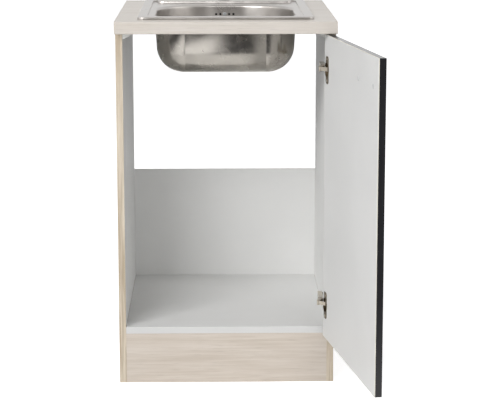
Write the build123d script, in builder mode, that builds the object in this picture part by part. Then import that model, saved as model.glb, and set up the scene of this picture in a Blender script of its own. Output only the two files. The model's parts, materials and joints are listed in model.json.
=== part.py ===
from build123d import *
import math
import os

# A kitchen sink unit: a base cabinet with one hinged door, a worktop and an inset steel sink.
# Millimetres. z = 0 is the floor, x = 0 the middle of the width, y = 0 the front edge of the
# side panels, and +y runs back towards the wall. The door is modelled open, as it is shown.

# ---------------------------------------------------------------- driving dimensions
unit_width = 500.0
unit_height = 850.0
worktop_thickness = 28.0
worktop_depth = 600.0
front_overhang = 55.0
board = 16.0
side_depth = 525.0
edge_band = 1.0
plinth_height = 118.0
back_top = 416.0
back_thickness = 3.0
back_side_margin = 2.0
worktop_arris = 3.0
cutout_width = 370.0
cutout_depth = 470.0
cutout_corner = 20.0

# Gaps round what is pressed or screwed in, and the depth left free at the end of a blind hole.
fit_gap = 0.05
thread_gap = 0.02
hole_end = 0.5
through = 20.0

cam_ys = (70.0, 455.0)
cam_inset = 34.0
cam_radius = 7.5
cam_depth = 12.5
cam_slot_gap = 0.4
bolt_radius = 3.5
bolt_length = 43.5
bolt_in_side = 11.0
dowel_ys = (112.0, 413.0)
plinth_dowel_zs = (30.0, 88.0)
dowel_radius = 4.0
dowel_length = 30.0
dowel_in_side = 11.0

block_ys = {"front": 19.0, "rear": 496.0}
block_length = 32.0
block_reach = 19.0
block_height = 17.0
block_tip_height = 9.0
block_screw_radius = 1.75
block_screw_length = 17.0
block_side_screw_dy = -8.0
block_top_screw_dy = 8.0
block_side_screw_drop = 9.0
block_top_screw_reach = 10.0
block_head_radius = 3.4
block_head_height = 1.8
block_head_gap = 0.6
block_head_seat = 5.0

nail_radius = 0.7
nail_length = 20.0
nail_head_radius = 1.6
nail_head_height = 0.6
nail_first = 30.0
nail_pitch = 64.0
nail_count = 5
nail_xs = (-150.0, 0.0, 150.0)

door_width = 496.0
door_bottom = 116.0
door_top = 818.0
door_gap = 3.0
door_skin = 0.8
door_angle = 99.0
door_edge_x = 249.0
pivot_x = 240.2
pivot_y = -18.3

sheet = 1.0
sink_width = 400.0
sink_depth = 500.0
sink_front_y = -8.0
sink_corner = 16.0
rim_height = 6.5
rim_edge_radius = 3.0
skirt_gap = 0.3
field_width = 356.0
field_depth = 456.0
field_corner = 26.0
field_height = 2.5
step_top_radius = 2.0
step_foot_radius = 1.2
bowl_width = 325.0
bowl_length = 345.0
bowl_front_y = 33.0
bowl_front_corner = 70.0
bowl_rear_corner = 125.0
bowl_depth = 132.0
bowl_draft = 3.0
bowl_floor_radius = 60.0
bowl_lip_radius = 7.0
bank_width = 332.0
bank_length = 58.0
bank_front_y = 412.0
bank_height = 6.5
bank_corner = 14.0
bank_edge_radius = 2.5
waste_recess_radius = 38.0
waste_recess_depth = 4.0
seat_edge_radius = 2.0
waste_radius = 26.0
tap_hole_radius = 17.5
overflow_pitch = 10.7
overflow_hole_radius = 2.8
overflow_z = 829.0
overflow_screw_radius = 2.5
overflow_screw_length = 22.0
overflow_head_radius = 4.5
overflow_head_height = 1.8
overflow_nut_radius = 4.6
overflow_nut_height = 4.0
overflow_housing_width = 60.0
overflow_housing_height = 24.0
overflow_housing_depth = 16.0
overflow_housing_wall = 2.0
overflow_boss_radius = 4.5
overflow_tail_radius = 7.0
overflow_tail_bore = 5.5
overflow_tail_length = 18.0
overflow_tail_behind = 8.5
gasket_inset = 4.0
gasket_width = 6.0
gasket_corner = 12.0
clamp_ys = (150.0, 380.0)
clamp_width = 15.0
clamp_sheet = 1.5
clamp_weld_x = 170.0
clamp_leg_x = 182.0
clamp_foot_x = 204.0
clamp_foot_z = 810.5
clamp_screw_x = 196.0
clamp_screw_radius = 2.5
clamp_head_radius = 4.0
clamp_head_height = 2.4

handle_hole_pitch = 128.0
handle_hole_radius = 2.5
handle_hole_s = 454.0
handle_hole_z = 757.0
cap_radius = 5.0
cap_height = 1.2
cap_edge_radius = 0.5
cap_stem = 10.0

hinge_heights = {"lower": 194.5, "upper": 739.5}
cup_s = 24.5
cup_outer_radius = 17.45
cup_inner_radius = 16.6
cup_hole_depth = 12.7
cup_depth = 12.6
cup_floor = 12.0
flange_thickness = 1.2
flange_ring_radius = 18.4
flange_width = 25.0
flange_length = 62.0
flange_shift = 3.5
flange_chamfer = 5.0
relief_width = 12.0
relief_depth = 9.5
cup_screw_s = 30.5
cup_screw_dz = 24.0
cup_screw_radius = 1.75
cup_screw_length = 12.0
cup_screw_head_radius = 3.2
cup_screw_head_height = 1.2

plate_y = 37.0
plate_screw_dz = 16.0
plate_screw_radius = 2.9
plate_screw_length = 12.6
plate_screw_head_radius = 4.5
plate_screw_head_height = 1.8
wing_depth = 18.0
wing_length = 48.0
wing_corner = 4.0
wing_thickness = 1.6
rib_top_x = 219.0
rib_front_y = 14.0
rib_back_y = 66.0
rib_half = 5.3
rib_chamfer = 3.0

arm_pin_x = 213.0
arm_pin_y = -11.0
arm_web_x = 216.0
arm_cheek_x = 226.0
arm_front_y = 4.0
arm_back_y = 70.0
arm_half = 7.0
arm_sheet = 1.5
nose_half = 6.0
nose_radius = 3.2
nose_web_y = -6.5
nose_root_web_y = 12.0
nose_root_cheek_y = 8.0
nose_cavity_y = 24.0
arm_screw_y = 26.0
arm_screw_radius = 2.0
arm_screw_length = 12.0
arm_screw_head_radius = 3.6
arm_screw_head_height = 1.6
pin_radius = 1.5
pin_clearance = 0.05

link_length = 22.0
link_angle_closed = 13.1
link_ratio = -0.5848
link_half = 4.2
link_sheet = 2.0
link_eye_radius = 2.9
link_tip_radius = 1.6
tip_pin_radius = 1.2
tip_pin_half = 5.2

# ---------------------------------------------------------------- derived places
half_width = unit_width / 2
inner_x = half_width - board
worktop_bottom = unit_height - worktop_thickness
worktop_front_y = -front_overhang
worktop_mid_y = worktop_front_y + worktop_depth / 2
rim_top = unit_height + rim_height
field_top = unit_height + field_height
bowl_floor = field_top - bowl_depth
bowl_mid_y = bowl_front_y + bowl_length / 2
sink_mid_y = sink_front_y + sink_depth / 2
bank_mid_y = bank_front_y + bank_length / 2
bank_top = field_top + bank_height
bowl_back_y = bowl_front_y + bowl_length
overflow_wall_y = bowl_back_y - (field_top - overflow_z) * math.tan(math.radians(bowl_draft))

angle = math.radians(door_angle)
along_door = Vector(-math.cos(angle), -math.sin(angle), 0)
out_of_door = Vector(math.sin(angle), -math.cos(angle), 0)
corner_dx = door_edge_x - pivot_x
corner_dy = -door_gap - pivot_y
door_corner = Vector(
    pivot_x + corner_dx * math.cos(angle) - corner_dy * math.sin(angle),
    pivot_y + corner_dx * math.sin(angle) + corner_dy * math.cos(angle),
    0,
)
# On this plane x runs along the open door from its hinge edge, y from its inner face outwards.
door_plan = Plane(origin=door_corner, x_dir=along_door, z_dir=(0, 0, 1))

LEFT = -1
RIGHT = 1
UP = (0, 0, 1)
DOWN = (0, 0, -1)
BACK = (0, 1, 0)


def inward(side):
    """The direction from a side panel's inner face into the cabinet."""
    return (-side, 0, 0)


def facing(points, normal):
    """Planes at the points with the outward normal given: a hole runs in against it."""
    return [Plane(origin=point, z_dir=normal) for point in points]


def door_face(points):
    """Planes on the door's inner face, at (distance from the hinge edge, height) pairs."""
    places = []
    for distance, height in points:
        origin = door_plan.from_local_coords(Vector(distance, 0, height))
        places.append(Plane(origin=origin, x_dir=along_door, z_dir=-out_of_door))
    return places


def save(piece, name):
    """Label a finished piece and write it."""
    piece.part.label = name
    export_step(piece.part, f"parts/{name}.step")


def screw(shank_radius, shank_length, head_radius, head_height):
    """One cross-head screw: its head stands on z = 0 and its shank hangs below."""
    slot_length = head_radius * 1.1
    slot_width = head_radius * 0.24
    slot_depth = head_height * 0.6
    with BuildPart() as one:
        Cylinder(head_radius, head_height, align=(Align.CENTER, Align.CENTER, Align.MIN))
        fillet(one.edges().filter_by(GeomType.CIRCLE).sort_by(Axis.Z)[-1], head_height * 0.45)
        Cylinder(shank_radius, shank_length, align=(Align.CENTER, Align.CENTER, Align.MAX))
        with Locations((0, 0, head_height)):
            Box(slot_length, slot_width, 2 * slot_depth, mode=Mode.SUBTRACT)
            Box(slot_width, slot_length, 2 * slot_depth, mode=Mode.SUBTRACT)
    return one.part


def screws(places, shank_radius, shank_length, head_radius, head_height):
    """Equal screws whose heads stand on the planes given."""
    one = screw(shank_radius, shank_length, head_radius, head_height)
    with BuildPart() as group:
        with Locations(*places):
            add(one)
    return group


os.makedirs("parts", exist_ok=True)

# ---------------------------------------------------------------- fastening places
cam_z = plinth_height + board / 2
dowel_in_board = dowel_length - dowel_in_side
block_screw_in_board = block_screw_length - block_head_seat
nail_zs = [plinth_height + nail_first + step * nail_pitch for step in range(nail_count)]
side_holes = {
    "bolt": [(y, cam_z) for y in cam_ys],
    "dowel": [(y, cam_z) for y in dowel_ys] + [(board / 2, z) for z in plinth_dowel_zs],
}

# ---------------------------------------------------------------- side panels and their edging
for side, word in ((LEFT, "left"), (RIGHT, "right")):
    with BuildPart() as side_panel:
        with BuildSketch(Plane.XY):
            with Locations((side * (half_width - board / 2), (edge_band + side_depth) / 2)):
                Rectangle(board, side_depth - edge_band)
        extrude(amount=worktop_bottom)
        wall = side * inner_x
        bolts = [(wall, y, z) for y, z in side_holes["bolt"]]
        with Locations(*facing(bolts, inward(side))):
            Hole(radius=bolt_radius + fit_gap, depth=bolt_in_side + hole_end)
        # The plinth's dowels stand half a board behind the front, the floor's further back.
        pegs = [(wall, y, z) for y, z in side_holes["dowel"]]
        with Locations(*facing(pegs, inward(side))):
            Hole(radius=dowel_radius + fit_gap, depth=dowel_in_side + hole_end)
        block_screws = [
            (wall, y + block_side_screw_dy, worktop_bottom - block_side_screw_drop)
            for y in block_ys.values()
        ]
        with Locations(*facing(block_screws, inward(side))):
            Hole(radius=block_screw_radius + thread_gap, depth=block_screw_in_board + hole_end)
        nails = [(side * (half_width - board / 2), side_depth, z) for z in nail_zs]
        with Locations(*facing(nails, BACK)):
            Hole(radius=nail_radius + thread_gap, depth=nail_length)
        if side == RIGHT:
            plate_screws = [
                (wall, plate_y, z + dz)
                for z in hinge_heights.values()
                for dz in (-plate_screw_dz, plate_screw_dz)
            ]
            with Locations(*facing(plate_screws, inward(side))):
                Hole(radius=plate_screw_radius + thread_gap, depth=plate_screw_length)
    save(side_panel, f"side_panel_{word}")

    with BuildPart() as side_edging:
        with BuildSketch(Plane.XY):
            with Locations((side * (half_width - board / 2), edge_band / 2)):
                Rectangle(board, edge_band)
        extrude(amount=worktop_bottom)
    save(side_edging, f"side_edging_{word}")

# ---------------------------------------------------------------- cabinet floor, its edging, plinth
with BuildPart() as cabinet_floor:
    with BuildSketch(Plane.XY.offset(plinth_height)):
        with Locations((0, (edge_band + side_depth) / 2)):
            Rectangle(2 * inner_x, side_depth - edge_band)
    extrude(amount=board)
    for side in (LEFT, RIGHT):
        with Locations(*facing([(side * inner_x, y, cam_z) for y in cam_ys], (side, 0, 0))):
            Hole(radius=bolt_radius + fit_gap, depth=cam_inset)
        with Locations(*facing([(side * inner_x, y, cam_z) for y in dowel_ys], (side, 0, 0))):
            Hole(radius=dowel_radius + fit_gap, depth=dowel_in_board + hole_end)
        cam_places = [(side * (inner_x - cam_inset), y, plinth_height) for y in cam_ys]
        with Locations(*facing(cam_places, DOWN)):
            Hole(radius=cam_radius + fit_gap, depth=cam_depth + fit_gap)
    with Locations(*facing([(x, side_depth, cam_z) for x in nail_xs], BACK)):
        Hole(radius=nail_radius + thread_gap, depth=nail_length)
save(cabinet_floor, "cabinet_floor")

with BuildPart() as floor_edging:
    with BuildSketch(Plane.XY.offset(plinth_height)):
        with Locations((0, edge_band / 2)):
            Rectangle(2 * inner_x, edge_band)
    extrude(amount=board)
save(floor_edging, "floor_edging")

with BuildPart() as plinth:
    with BuildSketch(Plane.XY):
        with Locations((0, board / 2)):
            Rectangle(2 * inner_x, board)
    extrude(amount=plinth_height)
    for side in (LEFT, RIGHT):
        ends = [(side * inner_x, board / 2, z) for z in plinth_dowel_zs]
        with Locations(*facing(ends, (side, 0, 0))):
            Hole(radius=dowel_radius + fit_gap, depth=dowel_in_board + hole_end)
save(plinth, "plinth")

# ---------------------------------------------------------------- cam locks, bolts and dowels
with BuildPart() as cam_locks:
    for side in (LEFT, RIGHT):
        for y in cam_ys:
            with BuildSketch(Plane.XY.offset(plinth_height)):
                with Locations((side * (inner_x - cam_inset), y)):
                    Circle(cam_radius)
            extrude(amount=cam_depth)
            # The bolt's way in: a slot from the cam's middle out towards the side panel.
            slot_half = bolt_radius + cam_slot_gap
            with BuildSketch(Plane.XY.offset(cam_z - slot_half)):
                with Locations((side * (inner_x - cam_inset + cam_radius / 2), y)):
                    Rectangle(cam_radius + 2 * cam_slot_gap, 2 * slot_half)
            extrude(amount=cam_depth, mode=Mode.SUBTRACT)
save(cam_locks, "cam_locks")

with BuildPart() as cam_bolts:
    for side in (LEFT, RIGHT):
        seats = [(side * (inner_x + bolt_in_side), y, cam_z) for y in cam_ys]
        with Locations(*facing(seats, (side, 0, 0))):
            Cylinder(bolt_radius, bolt_length, align=(Align.CENTER, Align.CENTER, Align.MAX))
save(cam_bolts, "cam_bolts")

with BuildPart() as dowels:
    for side in (LEFT, RIGHT):
        pegs = [(side * (inner_x + dowel_in_side), y, z) for y, z in side_holes["dowel"]]
        with Locations(*facing(pegs, (side, 0, 0))):
            Cylinder(dowel_radius, dowel_length, align=(Align.CENTER, Align.CENTER, Align.MAX))
save(dowels, "dowels")

# ---------------------------------------------------------------- lower back panel and its nails
nail_places = [
    (side * (half_width - board / 2), side_depth + back_thickness, z)
    for side in (LEFT, RIGHT)
    for z in nail_zs
]
nail_places += [(x, side_depth + back_thickness, cam_z) for x in nail_xs]

with BuildPart() as back_panel:
    with BuildSketch(Plane.XY.offset(plinth_height)):
        with Locations((0, side_depth + back_thickness / 2)):
            Rectangle(unit_width - 2 * back_side_margin, back_thickness)
    extrude(amount=back_top - plinth_height)
    with Locations(*facing(nail_places, BACK)):
        Hole(radius=nail_radius + thread_gap, depth=through)
save(back_panel, "back_panel")

with BuildPart() as back_nails:
    with Locations(*facing(nail_places, BACK)):
        Cylinder(
            nail_head_radius, nail_head_height, align=(Align.CENTER, Align.CENTER, Align.MIN)
        )
        Cylinder(nail_radius, nail_length, align=(Align.CENTER, Align.CENTER, Align.MAX))
save(back_nails, "back_nails")

# ---------------------------------------------------------------- worktop
with BuildPart() as worktop:
    with BuildSketch(Plane.XY.offset(worktop_bottom)):
        with Locations((0, worktop_mid_y)):
            Rectangle(unit_width, worktop_depth)
        with Locations((0, sink_mid_y)):
            RectangleRounded(cutout_width, cutout_depth, cutout_corner, mode=Mode.SUBTRACT)
    extrude(amount=worktop_thickness)
    front_edges = worktop.edges().filter_by(Axis.X).group_by(Axis.Y)[0]
    fillet(front_edges, worktop_arris)
    for side in (LEFT, RIGHT):
        block_tops = [
            (side * (inner_x - block_top_screw_reach), y + block_top_screw_dy, worktop_bottom)
            for y in block_ys.values()
        ]
        with Locations(*facing(block_tops, DOWN)):
            Hole(radius=block_screw_radius + thread_gap, depth=block_screw_in_board + hole_end)
save(worktop, "worktop")

# ---------------------------------------------------------------- corner blocks under the worktop
for place, block_y in block_ys.items():
    for side, word in ((LEFT, "left"), (RIGHT, "right")):
        with BuildPart() as corner_block:
            with BuildSketch(Plane.XZ.offset(-(block_y + block_length / 2))):
                with BuildLine():
                    Polyline(
                        (side * inner_x, worktop_bottom),
                        (side * (inner_x - block_reach), worktop_bottom),
                        (side * (inner_x - block_reach), worktop_bottom - block_tip_height),
                        (side * inner_x, worktop_bottom - block_height),
                        close=True,
                    )
                make_face()
            extrude(amount=block_length)
            # One screw runs sideways into the side panel, one up into the worktop.
            side_screw = (
                side * (inner_x - block_reach),
                block_y + block_side_screw_dy,
                worktop_bottom - block_side_screw_drop,
            )
            with Locations(*facing([side_screw], inward(side))):
                Hole(radius=block_screw_radius + fit_gap, depth=through)
                Hole(
                    radius=block_head_radius + block_head_gap,
                    depth=block_reach - block_head_seat,
                )
            top_screw = (
                side * (inner_x - block_top_screw_reach),
                block_y + block_top_screw_dy,
                worktop_bottom - block_height,
            )
            with Locations(*facing([top_screw], DOWN)):
                Hole(radius=block_screw_radius + fit_gap, depth=through)
                Hole(
                    radius=block_head_radius + block_head_gap,
                    depth=block_height - block_head_seat,
                )
        save(corner_block, f"corner_block_{place}_{word}")

block_side_heads = []
block_top_heads = []
for side in (LEFT, RIGHT):
    for block_y in block_ys.values():
        point = (
            side * (inner_x - block_head_seat),
            block_y + block_side_screw_dy,
            worktop_bottom - block_side_screw_drop,
        )
        block_side_heads += facing([point], inward(side))
        point = (
            side * (inner_x - block_top_screw_reach),
            block_y + block_top_screw_dy,
            worktop_bottom - block_head_seat,
        )
        block_top_heads += facing([point], DOWN)
block_side_screws = screws(
    block_side_heads, block_screw_radius, block_screw_length, block_head_radius, block_head_height
)
save(block_side_screws, "block_side_screws")
block_top_screws = screws(
    block_top_heads, block_screw_radius, block_screw_length, block_head_radius, block_head_height
)
save(block_top_screws, "block_top_screws")


# ---------------------------------------------------------------- sink
tolerance = 0.01


def is_round_bowl(point):
    """Whether a point of the field lies on the bowl's outline, not on the rim's or the bank's."""
    beyond = 2 * sheet
    in_width = abs(point.X) < bowl_width / 2 + beyond
    return in_width and bowl_front_y - beyond < point.Y < bowl_back_y + beyond


def pressed_form(inset):
    """The solid below the sink's upper face, with each of its faces moved inwards by inset."""
    form_floor = bowl_floor - through
    with BuildPart() as form:
        with BuildSketch(Plane.XY.offset(form_floor)):
            with Locations((0, sink_mid_y)):
                RectangleRounded(
                    sink_width - 2 * inset, sink_depth - 2 * inset, sink_corner - inset
                )
        extrude(amount=rim_top - inset - form_floor)
        fillet(form.faces().sort_by(Axis.Z)[-1].edges(), rim_edge_radius - inset)

        # The recessed field, a step below the rim.
        with BuildSketch(Plane.XY.offset(rim_top - inset)):
            with Locations((0, sink_mid_y)):
                RectangleRounded(
                    field_width + 2 * inset, field_depth + 2 * inset, field_corner + inset
                )
        extrude(amount=field_top - rim_top, mode=Mode.SUBTRACT)
        step = form.edges(Select.LAST).group_by(Axis.Z)
        fillet(step[-1], step_top_radius - inset)
        foot = form.faces().filter_by(Plane.XY).sort_by(Axis.Z)[-2].outer_wire().edges()
        fillet(foot, step_foot_radius + inset)

        # The tap bank stands on the field behind the bowl.
        with BuildSketch(Plane.XY.offset(field_top - inset)):
            with Locations((0, bank_mid_y)):
                RectangleRounded(
                    bank_width - 2 * inset, bank_length - 2 * inset, bank_corner - inset
                )
        extrude(amount=bank_height)
        bank = form.edges(Select.LAST).group_by(Axis.Z)
        fillet(bank[-1], bank_edge_radius - inset)

        # The bowl, rounder at its back, with drawn walls and a large radius round its floor.
        with BuildSketch(Plane.XY.offset(field_top - inset)) as mouth:
            with Locations((0, bowl_mid_y)):
                Rectangle(bowl_width + 2 * inset, bowl_length + 2 * inset)
            fillet(mouth.vertices().group_by(Axis.Y)[0], bowl_front_corner + inset)
            fillet(mouth.vertices().group_by(Axis.Y)[-1], bowl_rear_corner + inset)
        extrude(amount=-bowl_depth, taper=bowl_draft, mode=Mode.SUBTRACT)
        bowl = form.edges(Select.LAST).group_by(Axis.Z)
        fillet(bowl[0], bowl_floor_radius + inset)
        level = form.edges().filter_by(
            lambda edge: abs(edge.center().Z - (field_top - inset)) < tolerance
        )
        lip = level.filter_by(lambda edge: is_round_bowl(edge.center()))
        fillet(lip, bowl_lip_radius - inset)

        # The round recess that seats the waste.
        with BuildSketch(Plane.XY.offset(bowl_floor - inset)):
            with Locations((0, bowl_mid_y)):
                Circle(waste_recess_radius + inset)
        extrude(amount=-waste_recess_depth, mode=Mode.SUBTRACT)
        seat = form.edges(Select.LAST).group_by(Axis.Z)
        fillet(seat[-1], seat_edge_radius - inset)
    return form.part


outer_form = pressed_form(0)
inner_form = pressed_form(sheet)
overflow_xs = [step * overflow_pitch for step in (-2, -1, 1, 2)]
draft = math.radians(bowl_draft)
into_bowl = (0, -math.cos(draft), math.sin(draft))
wall_sheet = sheet * (math.cos(draft) + math.sin(draft))
overflow_places = facing([(x, overflow_wall_y, overflow_z) for x in overflow_xs], into_bowl)
overflow_screw_place = Plane(origin=(0, overflow_wall_y, overflow_z), z_dir=into_bowl)
with BuildPart() as sink:
    add(outer_form)
    add(inner_form, mode=Mode.SUBTRACT)
    # Nothing is left outside the bowl below the skirt.
    trim_bottom = bowl_floor - 2 * through
    with BuildSketch(Plane.XY.offset(trim_bottom)):
        with Locations((0, sink_mid_y)):
            Rectangle(sink_width + through, sink_depth + through)
            RectangleRounded(field_width, field_depth, field_corner, mode=Mode.SUBTRACT)
    extrude(amount=unit_height + skirt_gap - trim_bottom, mode=Mode.SUBTRACT)
    with Locations(*facing([(0, bowl_mid_y, bowl_floor)], UP)):
        Hole(radius=waste_radius, depth=through)
    with Locations(*facing([(0, bank_mid_y, bank_top)], UP)):
        Hole(radius=tap_hole_radius, depth=through)
    with Locations(*[plane.offset(through / 2) for plane in overflow_places]):
        Hole(radius=overflow_hole_radius, depth=through)
    with Locations(overflow_screw_place.offset(through / 2)):
        Hole(radius=overflow_screw_radius + fit_gap, depth=through)
save(sink, "sink")

overflow_screw = screws(
    [overflow_screw_place],
    overflow_screw_radius,
    overflow_screw_length,
    overflow_head_radius,
    overflow_head_height,
)
save(overflow_screw, "overflow_screw")

# The moulded housing that the screw clamps behind the overflow holes, with its hose tail.
overflow_back = Plane(
    origin=overflow_screw_place.offset(-wall_sheet).origin, x_dir=(1, 0, 0), z_dir=into_bowl
)
tail_bottom = overflow_z - overflow_housing_height / 2 - overflow_tail_length
tail_place = (0, overflow_back.origin.Y + overflow_tail_behind)
with BuildPart() as overflow_housing:
    with BuildSketch(overflow_back):
        SlotOverall(overflow_housing_width, overflow_housing_height)
    extrude(amount=-overflow_housing_depth)
    with BuildSketch(Plane.XY.offset(tail_bottom)):
        with Locations(tail_place):
            Circle(overflow_tail_radius)
    extrude(amount=overflow_tail_length + overflow_housing_wall)
    with BuildSketch(overflow_back):
        SlotOverall(
            overflow_housing_width - 2 * overflow_housing_wall,
            overflow_housing_height - 2 * overflow_housing_wall,
        )
        Circle(overflow_boss_radius, mode=Mode.SUBTRACT)
    extrude(amount=overflow_housing_wall - overflow_housing_depth, mode=Mode.SUBTRACT)
    with BuildSketch(Plane.XY.offset(tail_bottom)):
        with Locations(tail_place):
            Circle(overflow_tail_bore)
    extrude(amount=overflow_tail_length + 2 * overflow_housing_wall, mode=Mode.SUBTRACT)
    with Locations(overflow_screw_place):
        Hole(radius=overflow_screw_radius + fit_gap, depth=through)
save(overflow_housing, "overflow_housing")

nut_seat = overflow_screw_place.offset(-wall_sheet - overflow_housing_depth)
with BuildPart() as overflow_nut:
    with BuildSketch(nut_seat):
        RegularPolygon(overflow_nut_radius, 6)
    extrude(amount=-overflow_nut_height)
    with Locations(nut_seat):
        Hole(radius=overflow_screw_radius + fit_gap, depth=through)
save(overflow_nut, "overflow_nut")

with BuildPart() as sink_gasket:
    with BuildSketch(Plane.XY.offset(unit_height)):
        with Locations((0, sink_mid_y)):
            RectangleRounded(
                sink_width - 2 * gasket_inset, sink_depth - 2 * gasket_inset, gasket_corner
            )
            RectangleRounded(
                sink_width - 2 * gasket_inset - 2 * gasket_width,
                sink_depth - 2 * gasket_inset - 2 * gasket_width,
                gasket_corner - gasket_width,
                mode=Mode.SUBTRACT,
            )
    extrude(amount=rim_height - sheet)
save(sink_gasket, "sink_gasket")

# Each clamp hangs from the field's underside through the cut-out and hooks out under the worktop.
clamp_top = field_top - sheet
with BuildPart() as sink_clamps:
    for side in (LEFT, RIGHT):
        for clamp_y in clamp_ys:
            with BuildSketch(Plane.XZ.offset(-(clamp_y + clamp_width / 2))):
                with BuildLine():
                    Polyline(
                        (side * clamp_weld_x, clamp_top),
                        (side * clamp_leg_x, clamp_top),
                        (side * clamp_leg_x, clamp_foot_z + clamp_sheet),
                        (side * clamp_foot_x, clamp_foot_z + clamp_sheet),
                        (side * clamp_foot_x, clamp_foot_z),
                        (side * (clamp_leg_x - clamp_sheet), clamp_foot_z),
                        (side * (clamp_leg_x - clamp_sheet), clamp_top - clamp_sheet),
                        (side * clamp_weld_x, clamp_top - clamp_sheet),
                        close=True,
                    )
                make_face()
            extrude(amount=clamp_width)
    screw_holes = [
        (side * clamp_screw_x, y, clamp_foot_z) for side in (LEFT, RIGHT) for y in clamp_ys
    ]
    with Locations(*facing(screw_holes, DOWN)):
        Hole(radius=clamp_screw_radius + fit_gap, depth=clamp_sheet)
save(sink_clamps, "sink_clamps")

# The clamp screws push up against the worktop's underside.
clamp_screws = screws(
    facing(screw_holes, DOWN),
    clamp_screw_radius,
    worktop_bottom - clamp_foot_z,
    clamp_head_radius,
    clamp_head_height,
)
save(clamp_screws, "sink_clamp_screws")

# ---------------------------------------------------------------- door
board_depth = board - door_skin
door_height = door_top - door_bottom
cup_places = door_face([(cup_s, z) for z in hinge_heights.values()])
handle_places = door_face(
    [(handle_hole_s - handle_hole_pitch, handle_hole_z), (handle_hole_s, handle_hole_z)]
)
cup_screw_places = door_face(
    [(cup_screw_s, z + dz) for z in hinge_heights.values() for dz in (-cup_screw_dz, cup_screw_dz)]
)
ALONG = (Align.MIN, Align.MIN)

with BuildPart() as door_board:
    with BuildSketch(door_plan.offset(door_bottom + edge_band)):
        with Locations((edge_band, 0)):
            Rectangle(door_width - 2 * edge_band, board_depth, align=ALONG)
    extrude(amount=door_height - 2 * edge_band)
    with Locations(*cup_places):
        Hole(radius=cup_outer_radius + fit_gap, depth=cup_hole_depth)
    with Locations(*cup_screw_places):
        Hole(radius=cup_screw_radius + thread_gap, depth=cup_screw_length)
    with Locations(*handle_places):
        Hole(radius=handle_hole_radius, depth=through)
save(door_board, "door_board")

with BuildPart() as door_front_sheet:
    with BuildSketch(door_plan.offset(door_bottom + edge_band)):
        with Locations((edge_band, board_depth)):
            Rectangle(door_width - 2 * edge_band, door_skin, align=ALONG)
    extrude(amount=door_height - 2 * edge_band)
    with Locations(*handle_places):
        Hole(radius=handle_hole_radius, depth=through)
save(door_front_sheet, "door_front_sheet")

with BuildPart() as door_edging:
    with BuildSketch(door_plan.offset(door_bottom)):
        Rectangle(door_width, board, align=ALONG)
    extrude(amount=door_height)
    with BuildSketch(door_plan.offset(door_bottom + edge_band)):
        with Locations((edge_band, 0)):
            Rectangle(door_width - 2 * edge_band, board, align=ALONG)
    extrude(amount=door_height - 2 * edge_band, mode=Mode.SUBTRACT)
save(door_edging, "door_edging")

with BuildPart() as handle_hole_caps:
    with Locations(*handle_places):
        Cylinder(cap_radius, cap_height, align=(Align.CENTER, Align.CENTER, Align.MIN))
    fillet(handle_hole_caps.edges().filter_by(GeomType.CIRCLE), cap_edge_radius)
    with Locations(*handle_places):
        Cylinder(
            handle_hole_radius - fit_gap, cap_stem, align=(Align.CENTER, Align.CENTER, Align.MAX)
        )
save(handle_hole_caps, "handle_hole_caps")

# ---------------------------------------------------------------- concealed hinges
def plate_screw_points(hinge_z):
    """Where the two screws of the plate at this height enter its wings."""
    x = inner_x - wing_thickness
    return [(x, plate_y, hinge_z - plate_screw_dz), (x, plate_y, hinge_z + plate_screw_dz)]


link_angle = math.radians(link_angle_closed + link_ratio * door_angle)
# On this plane x runs from the arm's pin along the link.
link_plan = Plane(
    origin=(arm_pin_x, arm_pin_y, 0),
    x_dir=(math.cos(link_angle), math.sin(link_angle), 0),
    z_dir=(0, 0, 1),
)

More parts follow.
